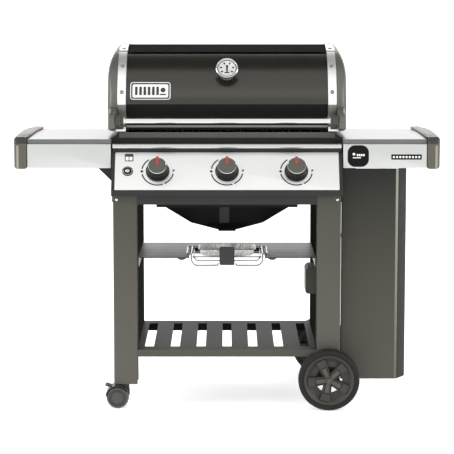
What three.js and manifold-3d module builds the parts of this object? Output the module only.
// A three-burner gas barbecue grill on an open cart with two big wheels and two casters.
// Millimetres, +Z up, the user stands at -Y. The origin is on the floor under the middle of the grill.
import * as THREE from 'three';
import { mergeVertices } from 'three/addons/utils/BufferGeometryUtils.js';
import Module from 'manifold-3d';

const wasm = await Module();
wasm.setup();

// ---------------------------------------------------------------- driving dimensions
const halfWidth = 724;          // floor centre to the outside of a table end cap
const halfDepth = 368.5;        // floor centre to the axle cap, and to the rear deflector
const gap = 0.3;                // clearance between touching pieces
const sheet = 2.5;              // pressed steel of the cart

const legInner = 304;
const legOuter = 384;
const legDepth = 70;
const legFront = -308;
const legBack = 244;
const legBottom = 82;
const legTop = 727;
const legMiddle = (legInner + legOuter) / 2;

const shelfTop = 201;
const slotCount = 7;
const slotPitch = 88.7;
const slotWidth = 31.5;

const wheelRadius = 104;
const wheelWidth = 46;
const rimRadius = 86;
const axleRadius = 5;
const wheelX = 345;
const frontWheelY = -337;
const rearWheelY = 273;

const casterRadius = 38;
const casterTrail = 28;
const casterHalfWidth = 33;
const casterInset = 14;         // stem to the outer face of its leg

const tableInner = 392;
const tableOuter = 674;
const tableTop = 914;
const tableFront = -260;
const tableBack = 181;
const fasciaTop = 897;
const fasciaBottom = 816;
const fasciaProud = 4;

const boxHalf = 365;            // cookbox
const boxFront = -195;
const boxBack = 355;
const boxWall = 4;
const boxRim = 932;
const boxShoulder = 780;
const hopperHalf = 248;
const hopperBottom = 700;
const burnerSpacing = 233;
const burnerRadius = 13;
const barLedge = 804;
const grateLedge = 904;
const grateTop = 918;

const panelHalf = 388;          // control panel
const panelTilt = THREE.MathUtils.degToRad(35.1);
const knobY = -298;             // where a knob's axis crosses the panel's face
const knobZ = 808;
const stemPush = 4;
const igniterX = -334;

const lidHalf = 343;            // between the two end castings
const lidBottom = 940;
const lidPeak = 1220;
const castingOuter = 407;
const castingShoulder = 1120;   // above this height the castings draw in
const castingDraw = 33;
const hingeY = 340;
const hingeZ = 955;
const handleY = -260;
const handleZ = 975;
const thermometerTilt = THREE.MathUtils.degToRad(32);

const outletY = -62;            // where fat drips from the tray into the pan
const panShelfTop = 505;

const round = 20;               // facets round a turned piece

// ---------------------------------------------------------------- finishes
const finish = (color, roughness, metalness) => () =>
  new THREE.MeshStandardMaterial({ color, roughness, metalness });
const cartPaint = finish(0x57534a, 0.5, 0.3);
const enamel = finish(0x0b0b0c, 0.12, 0.1);
const castAluminium = finish(0x6d6c62, 0.45, 0.7);
const stainless = finish(0xc9c9c6, 0.35, 0.9);
const galvanised = finish(0x9aa09f, 0.45, 0.8);
const darkPlastic = finish(0x3b3936, 0.6, 0);
const capPlastic = finish(0x5b564c, 0.55, 0);
const rubber = finish(0x1d1c1b, 0.85, 0);
const castIron = finish(0x17171a, 0.6, 0.4);
const brass = finish(0xa08a4c, 0.4, 0.9);
const foil = finish(0xc8c8c8, 0.3, 0.95);

// ---------------------------------------------------------------- shapes
const axisX = new THREE.Vector3(1, 0, 0);
const axisY = new THREE.Vector3(0, 1, 0);
const axisZ = new THREE.Vector3(0, 0, 1);

// Outlines are drawn in (y, z) to run along x, in (x, z) to run along y, in (x, y) to run along z.
const turnTo = {
  x: new THREE.Matrix4().makeBasis(axisY, axisZ, axisX),
  y: new THREE.Matrix4().makeBasis(axisX, axisZ, axisY.clone().negate()),
  z: new THREE.Matrix4(),
};

function prism(along, outline, [from, to]) {
  const shape = new THREE.Shape(outline.map(([u, v]) => new THREE.Vector2(u, v)));
  const geometry = new THREE.ExtrudeGeometry(shape, { depth: to - from, bevelEnabled: false });
  geometry.applyMatrix4(turnTo[along]);
  if (along === 'x') return geometry.translate(from, 0, 0);
  if (along === 'y') return geometry.translate(0, to, 0);
  return geometry.translate(0, 0, from);
}

function block([x0, x1], [y0, y1], [z0, z1]) {
  const box = new THREE.BoxGeometry(x1 - x0, y1 - y0, z1 - z0);
  return box.translate((x0 + x1) / 2, (y0 + y1) / 2, (z0 + z1) / 2);
}

// A solid of revolution about +Y from (radius, height) pairs. Its lowest facet lies flat.
function turned(profile, facets = round) {
  const points = profile.map(([r, h]) => new THREE.Vector2(r, h));
  return new THREE.LatheGeometry(points, facets, Math.PI / facets);
}

function rodX(radius, [x0, x1], y, z, facets = 16) {
  const rod = new THREE.CylinderGeometry(radius, radius, x1 - x0, facets);
  return rod.rotateZ(Math.PI / 2).translate((x0 + x1) / 2, y, z);
}

function rodY(radius, [y0, y1], x, z, facets = 16) {
  return new THREE.CylinderGeometry(radius, radius, y1 - y0, facets).translate(x, (y0 + y1) / 2, z);
}

function rodZ(radius, [z0, z1], x, y, facets = 16) {
  const rod = new THREE.CylinderGeometry(radius, radius, z1 - z0, facets);
  return rod.rotateX(Math.PI / 2).translate(x, y, (z0 + z1) / 2);
}

// Lets a piece turned about +Y stand on a sloping face: its +Y becomes the face's outward normal.
function onSlope(geometry, tilt, x, y, z) {
  return geometry.rotateX(Math.PI - tilt).translate(x, y, z);
}

function solidOf(geometry) {
  const bare = geometry.clone();
  bare.deleteAttribute('normal');
  bare.deleteAttribute('uv');
  const merged = mergeVertices(bare, 1e-4);
  const corners = merged.getIndex().array;
  const kept = [];
  for (let i = 0; i < corners.length; i += 3) {
    const [a, b, c] = corners.slice(i, i + 3);
    if (a !== b && b !== c && c !== a) kept.push(a, b, c);
  }
  const vertProperties = new Float32Array(merged.getAttribute('position').array);
  return new wasm.Manifold(new wasm.Mesh({ numProp: 3, vertProperties, triVerts: new Uint32Array(kept) }));
}

function geometryOf(solid) {
  const mesh = solid.getMesh();
  const geometry = new THREE.BufferGeometry();
  geometry.setAttribute('position', new THREE.BufferAttribute(mesh.vertProperties, 3));
  geometry.setIndex(new THREE.BufferAttribute(mesh.triVerts, 1));
  return geometry;
}

function join(first, ...others) {
  return geometryOf(others.reduce((sum, next) => sum.add(solidOf(next)), solidOf(first)));
}

function cut(body, ...tools) {
  return geometryOf(tools.reduce((rest, tool) => rest.subtract(solidOf(tool)), solidOf(body)));
}

function common(first, second) {
  return geometryOf(solidOf(first).intersect(solidOf(second)));
}

// The same piece on the other side of the grill, with its faces still pointing out.
function mirrored(geometry) {
  const other = geometry.index ? geometry.toNonIndexed() : geometry.clone();
  const position = other.getAttribute('position');
  for (let i = 0; i < position.count; i += 3) {
    const [a, b, c] = [0, 1, 2].map((k) => new THREE.Vector3().fromBufferAttribute(position, i + k));
    [a, c, b].forEach((p, k) => position.setXYZ(i + k, -p.x, p.y, p.z));
  }
  other.deleteAttribute('normal');
  return other;
}

// ---------------------------------------------------------------- assembly
const grill = new THREE.Group();

function place(name, geometry, material, parent = grill) {
  const mesh = new THREE.Mesh(geometry, material());
  mesh.name = name;
  parent.add(mesh);
  return mesh;
}

// ---------------------------------------------------------------- cart
// A leg is a channel: its web is the outer face and its flanges run inward.
function legChannel(face, flangeEnd) {
  const web = face + Math.sign(flangeEnd - face) * sheet;
  const outline = [
    [legInner, face], [legOuter, face], [legOuter, flangeEnd], [legOuter - sheet, flangeEnd],
    [legOuter - sheet, web], [legInner + sheet, web], [legInner + sheet, flangeEnd], [legInner, flangeEnd],
  ];
  return prism('z', outline, [legBottom, legTop]);
}

// The wheels' legs are drilled for the axle; the casters' legs have a foot with a stem socket.
function addLegs(end, face, inward) {
  const flangeEnd = face + inward * legDepth;
  const span = [Math.min(face, flangeEnd), Math.max(face, flangeEnd)];
  const axleHole = rodY(axleRadius + 0.6, [face - 10, face + 10], wheelX, wheelRadius);
  place(`${end}_right_leg`, cut(legChannel(face, flangeEnd), axleHole), cartPaint);

  const stemY = face + inward * casterInset;
  const foot = block([legInner + 1, legOuter - 1], [span[0] + 1, span[1] - 1], [legBottom, legBottom + 4]);
  const socket = rodZ(10, [legBottom + 1, legBottom + 50], legMiddle, stemY);
  const stemHole = rodZ(6.2, [legBottom - 5, legBottom + 60], legMiddle, stemY);
  const casterLeg = cut(join(legChannel(face, flangeEnd), foot, socket), stemHole);
  place(`${end}_left_leg`, mirrored(casterLeg), cartPaint);
}
addLegs('front', legFront, 1);
addLegs('rear', legBack, -1);

// Crossmembers: C channels between the legs, open inward. The rear one passes below the grease tray.
function addCrossmember(name, face, inward, high) {
  const depth = 25 * inward;
  const t = sheet * inward;
  const low = high - 30;
  const outline = [
    [face, low], [face + depth, low], [face + depth, low + sheet], [face + t, low + sheet],
    [face + t, high - sheet], [face + depth, high - sheet], [face + depth, high], [face, high],
  ];
  place(name, prism('x', outline, [gap - legInner, legInner - gap]), cartPaint);
}
addCrossmember('front_crossmember', legFront, 1, legTop);
addCrossmember('rear_crossmember', legBack, -1, 484);

// Side frames: a rail between two legs, an upright web and two arms that carry a side table.
function sideFrame() {
  const [y0, y1] = [legFront + legDepth + gap, legBack - legDepth - gap];
  const railOutline = [
    [legInner, 697], [legInner + sheet, 697], [legInner + sheet, legTop - sheet], [legOuter, legTop - sheet],
    [legOuter, 697], [legOuter + 7, 697], [legOuter + 7, legTop], [legInner, legTop],
  ];
  const web = block([legOuter + 1, legOuter + 7], [y0 + 38, y1 - 24], [legTop - 10, tableTop - 30 - gap]);
  const arms = [y0 + 40, y1 - 60].flatMap((y) => [
    block([legOuter + 3, 640], [y, y + 30], [866, tableTop - 30 - gap]),
    prism('y', [[legOuter + 3, 764], [legOuter + 9, 764], [450, 820], [450, 870], [legOuter + 3, 870]],
      [y - 2, y + 1]),
  ]);
  return join(prism('y', railOutline, [y0, y1]), web, ...arms);
}
place('right_side_frame', sideFrame(), cartPaint);
place('left_side_frame', mirrored(sideFrame()), cartPaint);

// Bottom shelf: a slotted sheet with turned-down edges.
function bottomShelf() {
  const half = legInner - gap;
  const slots = [];
  for (let i = 0; i < slotCount; i += 1) {
    const x = (i - (slotCount - 1) / 2) * slotPitch;
    slots.push(block([x - slotWidth / 2, x + slotWidth / 2], [-247, 191], [100, 300]));
  }
  const underside = shelfTop - sheet + 1;
  return join(
    cut(block([-half, half], [legFront, legBack], [shelfTop - sheet, shelfTop]), ...slots),
    block([-half, half], [legFront, legFront + sheet], [177, underside]),
    block([-half, half], [legBack - sheet, legBack], [165, underside]),
    block([-half, sheet - half], [legFront + 1, legBack - 1], [177, underside]),
    block([half - sheet, half], [legFront + 1, legBack - 1], [177, underside]),
  );
}
place('bottom_shelf', bottomShelf(), cartPaint);

// Pan shelf: a plate between the legs, cut away at the front for the pan carrier.
function panShelf() {
  const half = legInner - gap;
  const [y0, y1, notchBack, notchHalf] = [-210, 156, 50, 129];
  const outline = [
    [-half, y0], [-notchHalf, y0], [-notchHalf, notchBack], [notchHalf, notchBack],
    [notchHalf, y0], [half, y0], [half, y1], [-half, y1],
  ];
  const flange = block([half - 2, half], [y0, 200], [panShelfTop - 36, panShelfTop]);
  const lips = [[-half + 1, -notchHalf], [notchHalf, half - 1]].map((span) =>
    block(span, [y0 - 1, y0 + 1], [panShelfTop - 4, panShelfTop]));
  return join(prism('z', outline, [panShelfTop - 2, panShelfTop]), flange, mirrored(flange), ...lips);
}
place('pan_shelf', panShelf(), galvanised);

// Tank screen: a folded upright sheet in front of the gas cylinder's bay.
const screenX = panelHalf + 0.5;
const screenOutline = [
  [screenX, -240], [screenX, -265], [579, -265], [612, -210], [612, -160], [609.5, -160],
  [609.5, -209.3], [577.6, -262.5], [screenX + sheet, -262.5], [screenX + sheet, -240],
];
place('tank_screen', prism('z', screenOutline, [92, fasciaBottom - 1]), cartPaint);

// Tank hanger: a beam between the right legs with a hook outside and a gauge housing inside.
function tankHanger() {
  const [y0, y1] = [legFront + legDepth + gap, legBack - legDepth - gap];
  const gauge = [[274, 365], [280, 359], [313, 359], [313, 452], [284, 452], [274, 442]];
  const gaugeHollow = [[276.5, 366], [281, 361.5], [318, 361.5], [318, 449.5], [285, 449.5], [276.5, 441]];
  const beamHollow = [[314.5, 387.5], [376, 387.5], [376, 422.5], [314.5, 422.5]];
  return join(
    cut(block([312, 372], [y0, y1], [385, 425]), prism('y', beamHollow, [y0 - 1, y1 + 1])),
    cut(prism('y', gauge, [-100, 20]), prism('y', gaugeHollow, [-97.5, 17.5])),
    block([340, 352], [-50, -10], [424, 560]),
    block([340, 440], [-50, -10], [552, 560]),
    block([434, 440], [-50, -10], [552, 578]),
  );
}
place('tank_hanger', tankHanger(), darkPlastic);

// ---------------------------------------------------------------- wheels
const axleFront = -halfDepth;
const axleRear = 304;
place('wheel_axle', turned([
  [0, axleFront], [7, axleFront], [9, axleFront + 2], [9, axleFront + 7], [axleRadius, axleFront + 7],
  [axleRadius, axleRear - 7], [9, axleRear - 7], [9, axleRear - 2], [7, axleRear], [0, axleRear],
], 12).translate(wheelX, 0, wheelRadius), stainless);

const wheelFacets = 30;
const flatten = 1 / Math.cos(Math.PI / wheelFacets);   // so that a flat facet is at the full radius
const tyreProfile = [
  [rimRadius, -21], [92, -wheelWidth / 2], [101, -22], [wheelRadius * flatten, -17],
  [wheelRadius * flatten, 17], [101, 22], [92, wheelWidth / 2], [rimRadius, 21], [rimRadius, -21],
];

// Rim: hub, web and bead seat in one, with five windows between wide spokes.
function wheelRim() {
  const seat = rimRadius - gap;
  const blank = turned([
    [axleRadius + 0.4, -20], [16, -20], [16, -7], [76, -7], [76, -19], [seat, -19], [seat, 19],
    [76, 19], [76, 7], [16, 7], [16, 20], [axleRadius + 0.4, 20], [axleRadius + 0.4, -20],
  ], wheelFacets);
  const windows = [];
  for (let i = 0; i < 5; i += 1) {
    const middle = THREE.MathUtils.degToRad(90 - 24.6 + 36 + 72 * i);
    const corner = (r, turn) => [r * Math.cos(middle + turn), r * Math.sin(middle + turn)];
    const outline = [corner(31, -0.3), corner(56, -0.42), corner(59, 0), corner(56, 0.42), corner(31, 0.3)];
    windows.push(prism('y', outline, [-30, 30]));
  }
  return cut(blank, ...windows);
}

for (const [end, y] of [['front', frontWheelY], ['rear', rearWheelY]]) {
  const wheel = new THREE.Group();
  wheel.position.set(wheelX, y, wheelRadius);
  grill.add(wheel);
  place(`${end}_tyre`, turned(tyreProfile, wheelFacets), rubber, wheel);
  place(`${end}_rim`, wheelRim(), darkPlastic, wheel);
}

// ---------------------------------------------------------------- casters
// Local frame: the wheels' axle is the origin, the stem stands casterTrail to the right of it.
function casterFork() {
  const [hoodInner, hoodOuter] = [39.5, 41.5];
  const arc = (r, from, to, steps) => {
    const points = [];
    for (let i = 0; i <= steps; i += 1) {
      const angle = THREE.MathUtils.degToRad(from + ((to - from) * i) / steps);
      points.push([r * Math.cos(angle), r * Math.sin(angle)]);
    }
    return points;
  };
  const hood = [...arc(hoodOuter, 30, 176, 10), ...arc(hoodInner, 176, 30, 10)];
  const spine = [...arc(hoodOuter - 0.5, 40, 176, 8), [-14, -14], [14, -14], [40, 6], [40, 26]];
  return cut(
    join(
      prism('y', hood, [-30, 30]),
      prism('y', spine, [-5, 5]),
      block([casterTrail - 9, casterTrail + 11], [-9, 9], [28, 43]),
      rodZ(5.5, [30, 88], casterTrail, 0),
    ),
    rodY(4.6, [-10, 10], 0, 0),
    rodY(casterRadius + 1, [5.8, 34], 0, 0, 32),
    rodY(casterRadius + 1, [-34, -5.8], 0, 0, 32),
  );
}

const casterFacets = 20;
const tread = casterRadius / Math.cos(Math.PI / casterFacets);
const casterWheels = [
  [0, -casterHalfWidth], [33, -casterHalfWidth], [tread, -29], [tread, -6.5], [4, -6.5],
  [4, 6.5], [tread, 6.5], [tread, 29], [33, casterHalfWidth], [0, casterHalfWidth],
];
const brakeOutline = [[-22, 37.6], [-26, 34.6], [-43, 40.2], [-40, 43.4]];

for (const [end, y] of [['front', legFront + casterInset], ['rear', legBack - casterInset]]) {
  const caster = new THREE.Group();
  caster.position.set(-legMiddle - casterTrail, y, casterRadius);
  grill.add(caster);
  place(`${end}_caster_fork`, casterFork(), darkPlastic, caster);
  place(`${end}_caster_wheels`, turned(casterWheels, casterFacets), rubber, caster);
  place(`${end}_caster_brake`, prism('y', brakeOutline, [-20, 20]), darkPlastic, caster);
}

// ---------------------------------------------------------------- side tables
function tableTray() {
  const outer = block([tableInner, tableOuter], [tableFront, tableBack], [tableTop - 30, tableTop]);
  const wall = 3;
  return cut(outer, block([tableInner + wall, tableOuter - wall], [tableFront + wall, tableBack - wall],
    [tableTop - 40, tableTop - wall]));
}

function fascia() {
  const face = tableFront - fasciaProud;
  const outline = [
    [face, fasciaBottom], [face + 22, fasciaBottom], [face + 22, fasciaBottom + sheet],
    [tableFront - gap, fasciaBottom + sheet], [tableFront - gap, fasciaTop], [face, fasciaTop],
  ];
  return prism('x', outline, [tableInner, tableOuter]);
}

// A moulded cap, bowed in plan, hollow towards the table.
function endCap() {
  const inner = tableOuter + gap;
  const outline = (inset) => [
    [inner - inset, -268 + inset], [711, -268 + inset], [719 - inset, -261],
    [halfWidth - inset, -100], [halfWidth - 1 - inset, 50], [713 - inset, 142],
    [686 - inset / 2, tableBack - inset], [inner - inset, tableBack - inset],
  ];
  const body = prism('z', outline(0), [812, 923]);
  const chamfer = prism('y', [[708, 924], [726, 924], [726, 908]], [-280, 200]);
  return cut(body, chamfer, prism('z', outline(4), [800, 916]));
}

for (const [side, facing] of [['right', (g) => g], ['left', mirrored]]) {
  place(`${side}_table`, facing(tableTray()), stainless);
  place(`${side}_fascia`, facing(fascia()), stainless);
  place(`${side}_end_cap`, facing(endCap()), capPlastic);
}

// ---------------------------------------------------------------- cookbox
// One section runs front to back: straight sides, a shoulder and a hopper that is open below.
function cookbox() {
  const section = (half, shoulder, hopper, top, bottom) => [
    [-half, top], [-half, shoulder], [-hopper, hopperBottom], [-hopper, bottom],
    [hopper, bottom], [hopper, hopperBottom], [half, shoulder], [half, top],
  ];
  const inside = [boxFront + boxWall, boxBack - boxWall];
  const outer = prism('y', section(boxHalf, boxShoulder, hopperHalf, boxRim, hopperBottom - 1),
    [boxFront, boxBack]);
  const inner = prism('y', section(boxHalf - boxWall, boxShoulder + 2, hopperHalf - boxWall, 940, 690), inside);
  const burnerHoles = [-1, 0, 1].map((i) =>
    rodY(burnerRadius + 1, [boxFront - 5, boxFront + 10], i * burnerSpacing, knobZ - 35.7));
  const shell = cut(outer, inner, ...burnerHoles);

  const ledge = (z, depth) => [
    block([-boxHalf + 1, boxHalf - 1], [boxFront + 1, inside[0] + depth], [z - 3, z]),
    block([-boxHalf + 1, boxHalf - 1], [inside[1] - depth, boxBack - 1], [z - 3, z]),
  ];
  const wing = prism('y', [[boxHalf - 1, boxRim], [tableInner - 0.5, tableTop], [tableInner - 0.5, 892],
    [boxHalf - 1, 892]], [boxFront + 2, tableBack]);
  const trayRail = prism('y', [[hopperHalf - boxWall + 0.5, hopperBottom + 1], [hopperHalf, hopperBottom + 1],
    [hopperHalf, 683], [hopperHalf - 12, 683], [hopperHalf - 12, 686], [hopperHalf - boxWall + 0.5, 686]],
    [boxFront + 2, 330]);
  const foot = (y) => block([318, 350], [y, y + 40], [legTop + gap, 775]);
  const ear = prism('x', [[328, 925], [352, 925], [351, 955], [348, 963], [340, 966], [332, 963], [329, 955]],
    [328, 336]);
  const pairs = [wing, trayRail, foot(-150), foot(185), ear].flatMap((g) => [g, mirrored(g)]);
  const frontLip = block([-boxHalf, boxHalf], [boxFront - 5, boxFront + 1], [tableTop, boxRim]);
  const deflector = prism('x', [[boxBack - 1, 880], [boxBack + 2, 880], [halfDepth, 926], [halfDepth - 3, 926]],
    [-boxHalf + 15, boxHalf - 15]);
  const built = join(shell, ...ledge(barLedge, 12), ...ledge(grateLedge, 16), ...pairs, frontLip, deflector);
  return cut(built, rodX(4.5, [-345, 345], hingeY, hingeZ, 12));
}
place('cookbox', cookbox(), castAluminium);

const insideFront = boxFront + boxWall + 1;
const insideBack = boxBack - boxWall - 1;
const manifoldZ = knobZ - 35.7;
for (const [i, side] of [[-1, 'left'], [0, 'centre'], [1, 'right']]) {
  // Burner tube: open at the mouth, closed at its far end.
  const bore = burnerRadius - 2;
  place(`${side}_burner`, turned([
    [0, 330], [bore, 330], [bore, -219], [burnerRadius, -219], [burnerRadius, 333], [0, 333],
  ], 16).translate(i * burnerSpacing, 0, manifoldZ), stainless);

  // Heat deflector bar: an inverted V that sheds fat past its burner.
  const x = i * burnerSpacing;
  const bar = [[x - 52, barLedge + gap], [x - 49, barLedge + gap], [x, 839], [x + 49, barLedge + gap],
    [x + 52, barLedge + gap], [x, 842]];
  place(`${side}_heat_bar`, prism('y', bar, [insideFront, insideBack]), castIron);
}

// Cooking grates: two castings side by side, bars running front to back.
function grate() {
  const [x0, x1] = [2, boxHalf - boxWall - 3];
  const barCount = 18;
  const pitch = (x1 - x0 - 8) / barCount;
  const slots = [];
  for (let i = 0; i < barCount; i += 1) {
    const left = x0 + 8 + i * pitch;
    slots.push(block([left, left + pitch - 8], [insideFront + 14, insideBack - 14], [850, 950]));
  }
  return cut(block([x0, x1], [insideFront, insideBack], [grateLedge + gap, grateTop]), ...slots);
}
place('right_grate', grate(), castIron);
place('left_grate', mirrored(grate()), castIron);

// Warming rack: a wire shelf on two frames that stand on the cookbox's grate ledge.
function warmingRack() {
  const [y0, y1, z, half] = [185, 320, 1040, 326];
  const slots = [];
  for (let i = 0; i < 6; i += 1) {
    const y = y0 + 5 + i * 21.5;
    slots.push(block([6 - half, half - 6], [y, y + 17], [z - 5, z + 10]));
  }
  const deck = cut(block([-half, half], [y0, y1], [z, z + 5]), ...slots);
  const legs = [y0 + 10, y1 - 16].flatMap((y) => [-half, half - 6].map((x) =>
    block([x, x + 6], [y, y + 6], [grateTop + gap, z + 1])));
  return join(deck, ...legs);
}
place('warming_rack', warmingRack(), stainless);

// ---------------------------------------------------------------- gas train and controls
const onPanel = (geometry, x) => onSlope(geometry, panelTilt, x, knobY, knobZ);
const manifoldY = knobY + 62 * Math.cos(panelTilt);

// Supply pipe with its three valves and nozzles, and the hose fitting at the right end.
function gasManifold() {
  const valves = [-1, 0, 1].flatMap((i) => [
    onPanel(turned([[0, -74], [14, -74], [14, -38], [4.6, -38], [4.6, -57], [0, -57]], 12), i * burnerSpacing),
    rodY(4, [manifoldY, -222], i * burnerSpacing, manifoldZ, 8),
  ]);
  return join(
    rodX(8, [-256, 335], manifoldY, manifoldZ, 12),
    rodX(12, [325, 348], manifoldY, manifoldZ, 6),
    ...valves,
  );
}
place('gas_manifold', gasManifold(), brass);

// Control panel: a folded housing with a sloping face, open behind and below.
function controlPanel() {
  const across = [Math.cos(panelTilt), -Math.sin(panelTilt)];   // inward, square to the face
  const alongFace = (run) => [knobY + run * Math.sin(panelTilt), knobZ + run * Math.cos(panelTilt)];
  const low = alongFace(-73);
  const high = alongFace(75);
  const outline = (t) => [
    [-338 + t, 729 - t], [low[0] + t * 1.3, low[1]], [high[0] + t * across[0], high[1] - t],
    [-212 + t * 3, high[1] - t], [-212 + t * 3, 729 - t],
  ];
  const openings = [-1, 0, 1].map((i) =>
    onPanel(new THREE.CylinderGeometry(6, 6, 30, 16), i * burnerSpacing));
  const igniterHole = onPanel(new THREE.CylinderGeometry(14.8, 14.8, 30, round), igniterX);
  return cut(
    prism('x', outline(0), [-panelHalf, panelHalf]),
    prism('x', outline(3), [3 - panelHalf, panelHalf - 3]),
    ...openings, igniterHole,
  );
}
place('control_panel', controlPanel(), stainless);

// Front rail: a folded hollow bar on a web that stands on the housing, open at its ends.
const railOutline = [
  [-250, 869.8], [-226, 869.8], [-226, 882], [-222, 884], [-222, 896], [-225, 898],
  [-264, 898], [-269, 895], [-271, 890], [-269, 885], [-264, 882], [-250, 882],
];
const railHollow = [
  [-248, 871.8], [-228, 871.8], [-228, 883.6], [-224, 885.4], [-224, 894.6], [-226, 896],
  [-263, 896], [-267.4, 893.6], [-269, 890], [-267.4, 886.4], [-263, 884], [-248, 884],
];
const railHalf = panelHalf - 2;
place('front_rail', cut(
  prism('x', railOutline, [-railHalf, railHalf]), prism('x', railHollow, [-railHalf - 1, railHalf + 1]),
), stainless);

for (const [i, side] of [[-1, 'left'], [0, 'centre'], [1, 'right']]) {
  place(`${side}_knob`, onPanel(turned([
    [0, -50], [4, -50], [4, 5], [37.5, 5], [37.5, 10], [34.5, 14], [33.5, 36], [31, 40], [31, 43], [0, 43],
  ]), i * burnerSpacing), darkPlastic);
  place(`${side}_valve_collar`, onPanel(turned([
    [4.5, -30], [10, -30], [10, -24], [4.5, -24], [4.5, -30],
  ], 12), i * burnerSpacing), brass);
}

place('igniter_module', onPanel(turned([
  [0, -35], [14.2, -35], [14.2, gap], [16.5, gap], [16.5, 5], [13, 6], [13, -8], [5.6, -8], [5.6, -25], [0, -25],
]), igniterX), darkPlastic);
place('igniter_button', onPanel(turned([
  [0, -18], [5, -18], [5, 1 - stemPush], [12.5, 1 - stemPush], [12.5, 7], [11, 8.5], [0, 8.5],
]), igniterX), darkPlastic);

// ---------------------------------------------------------------- lid
const lidCrease = new THREE.Vector2(-197, 1027);
const lidShoulder = new THREE.Vector2(-60, 1193);
const lidFront = new THREE.CubicBezierCurve(lidCrease, new THREE.Vector2(-181.4, 1100.4),
  new THREE.Vector2(-128, 1161.3), lidShoulder);
const lidTop = new THREE.CubicBezierCurve(lidShoulder, new THREE.Vector2(-10, 1211),
  new THREE.Vector2(50, lidPeak + 3), new THREE.Vector2(120, lidPeak - 1));
const lidRear = new THREE.CubicBezierCurve(new THREE.Vector2(120, lidPeak - 1), new THREE.Vector2(260, 1197),
  new THREE.Vector2(351, 1100), new THREE.Vector2(356, lidBottom));

// The lid's section grown or shrunk about the middle of its foot, with the foot lowered by drop.
function lidOutline(growY, growZ, drop = 0) {
  const curve = [
    new THREE.Vector2(-188, lidBottom), ...lidFront.getPoints(8), ...lidTop.getPoints(5).slice(1),
    ...lidRear.getPoints(9).slice(1),
  ];
  const points = curve.map(({ x: y, y: z }) => [80 + (y - 80) * growY, lidBottom + (z - lidBottom) * growZ]);
  if (drop > 0) {
    points.unshift([points[0][0], lidBottom - drop]);
    points.push([points.at(-1)[0], lidBottom - drop]);
  }
  return points;
}

const thermometerFoot = lidFront.getPoint(0.51);
const onLid = (geometry) => onSlope(geometry, thermometerTilt, 0, thermometerFoot.x, thermometerFoot.y);
// Slots in the lid's rear edge let it turn down past the cookbox's hinge ears.
const earSlot = block([326.5, 337.5], [hingeY - 6, hingeY + 40], [lidBottom - 5, hingeZ + 22]);
place('lid_shell', cut(
  prism('x', lidOutline(1, 1), [-lidHalf, lidHalf]),
  prism('x', lidOutline(0.991, 0.99, 10), [-lidHalf - 1, lidHalf + 1]),
  onLid(new THREE.CylinderGeometry(6, 6, 60, 16)),
  earSlot, mirrored(earSlot),
), enamel);

// End castings: hollow ends that draw in towards the top and reach forward to hold the handle.
function endCasting() {
  const inner = lidHalf + gap;
  const envelope = (outer) => {
    const points = [[inner - 5, lidBottom - 20], [outer, lidBottom - 20]];
    for (let t = 0; t <= 1; t += 0.2) {
      const z = castingShoulder + (lidPeak + 6 - castingShoulder) * t;
      points.push([outer - castingDraw * t * t, z]);
    }
    points.push([outer - castingDraw, lidPeak + 30], [inner - 5, lidPeak + 30]);
    return prism('y', points, [-400, 400]);
  };
  const body = common(prism('x', lidOutline(1.012, 1.02), [inner, castingOuter]), envelope(castingOuter));
  const cavity = common(prism('x', lidOutline(0.982, 0.98, 10), [inner - 1, castingOuter]),
    envelope(castingOuter - 6));
  const arm = [[-185, 1004], [-262, 997], [-276, 989], [-281, 975], [-276, 961], [-262, 953], [-185, lidBottom]];
  const boss = rodX(11, [360, castingOuter - 3], hingeY, hingeZ);
  const heel = block([inner - 1, castingOuter + 1], [hingeY + 12, hingeY + 40], [lidBottom - 5, lidBottom + 6]);
  return cut(
    join(cut(body, cavity, heel), prism('x', arm, [375, castingOuter - 4]), boss),
    rodX(4.7, [340, castingOuter - 7], hingeY, hingeZ, 12),
  );
}
place('right_lid_casting', endCasting(), castAluminium);
place('left_lid_casting', mirrored(endCasting()), castAluminium);
place('hinge_rod', rodX(4.2, [8 - castingOuter, castingOuter - 8], hingeY, hingeZ, 12), stainless);

const handleEnd = 375 - gap;
place('lid_handle', turned([
  [0, -handleEnd], [20.5, -handleEnd], [20.5, -348], [10, -348],
  [10, 348], [20.5, 348], [20.5, handleEnd], [0, handleEnd],
], 16).rotateZ(-Math.PI / 2).translate(0, handleY, handleZ), stainless);

place('thermometer', onLid(turned([
  [0, -60], [4, -60], [4, 7], [29, 7], [31, 9], [31, 34], [39, 36], [39, 43], [37, 44], [0, 44],
])), stainless);

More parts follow.
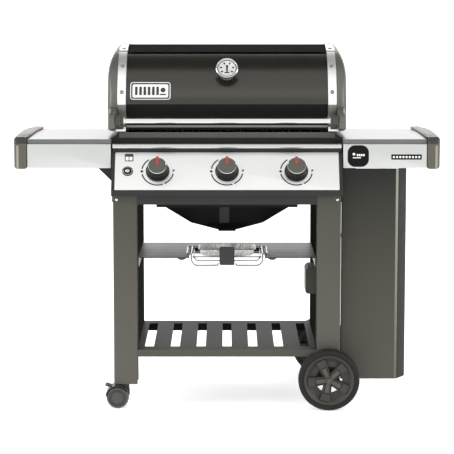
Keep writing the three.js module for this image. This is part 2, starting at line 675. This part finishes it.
// ---------------------------------------------------------------- grease tray and catch pan
// The tray is a funnel, narrowing in both directions, that hangs by its lip in the cookbox's rails.
function greaseTray() {
  const across = (t) => [[-236 + t, 688], [-124 + t, 612], [-30 + t, 583], [-30 + t, 578 - t],
    [30 - t, 578 - t], [30 - t, 583], [124 - t, 612], [236 - t, 688]];
  const along = (t) => [[-178 + t, 688], [-118 + t, 612], [outletY - 24 + t, 583], [outletY - 24 + t, 578 - t],
    [outletY + 24 - t, 578 - t], [outletY + 24 - t, 583], [190 - t, 612], [310 - t, 688]];
  const raised = (points) => points.map(([u, z]) => [u, z + (z > 600 ? 2.5 : 1.5)]);
  const outer = common(prism('y', across(0), [-400, 400]), prism('x', along(0), [-400, 400]));
  const lip = block([-241.5, 241.5], [-194, 320], [686.4, 688.4]);
  const front = block([-241.5, 241.5], [-197, -193.5], [675, 688.4]);
  const inner = common(prism('y', raised(across(2)), [-400, 400]), prism('x', raised(along(2)), [-400, 400]));
  const outlet = block([-28, 28], [outletY - 22, outletY + 22], [560, 600]);
  return cut(join(outer, lip, front), inner, outlet);
}
place('grease_tray', greaseTray(), enamel);

// A wire cradle that rides on the pan shelf's edges, a foil pan in it, and a pull in front.
function panCradle() {
  const [x1, y0, y1, low, high] = [126, -165, 40, 466, 508];
  const wire = 5;
  const ends = [y0, y1 - wire].map((y) => prism('y', [
    [-x1, high], [-x1, low + 16], [-x1 + 16, low], [x1 - 16, low], [x1, low + 16], [x1, high],
    [x1 - wire, high], [x1 - wire, low + 18], [x1 - 18, low + wire], [18 - x1, low + wire],
    [wire - x1, low + 18], [wire - x1, high],
  ], [y, y + wire]));
  const runner = block([x1 - wire, 140], [y0, y1], [panShelfTop + gap, panShelfTop + 5]);
  const stringers = [-70, 65].map((x) => block([x, x + wire], [y0 + 1, y1 - 1], [low, low + wire]));
  const crossWires = [-80, -10].map((y) => block([wire - x1 - 1, x1 - wire + 1], [y, y + wire], [488, 493]));
  const crossEnds = [-1, 1].flatMap((s) => [-80, -10].map((y) =>
    block(s < 0 ? [-x1, wire - x1] : [x1 - wire, x1], [y, y + wire], [488, 507])));
  return join(runner, mirrored(runner), ...ends, ...stringers, ...crossWires, ...crossEnds);
}
place('pan_cradle', panCradle(), stainless);

function catchPan() {
  const flare = (t, z0, z1) => [[-100 + t, z1], [-90 + t, z0], [90 - t, z0], [100 - t, z1]];
  const taper = (t, z0, z1) => [[-138 + t, z1], [-130 + t, z0], [6 - t, z0], [14 - t, z1]];
  const outer = common(prism('y', flare(0, 494, 520), [-300, 300]), prism('x', taper(0, 494, 520), [-300, 300]));
  const inner = common(prism('y', flare(1.5, 495.5, 522), [-300, 300]), prism('x', taper(1.5, 495.5, 522), [-300, 300]));
  return cut(outer, inner);
}
place('catch_pan', catchPan(), foil);

place('pan_handle', prism('x', [
  [-165.3, 476], [-165.3, 530], [-172, 534], [-180, 528], [-182, 505], [-180, 478], [-174, 472],
], [-26, 26]), darkPlastic);

export default grill;
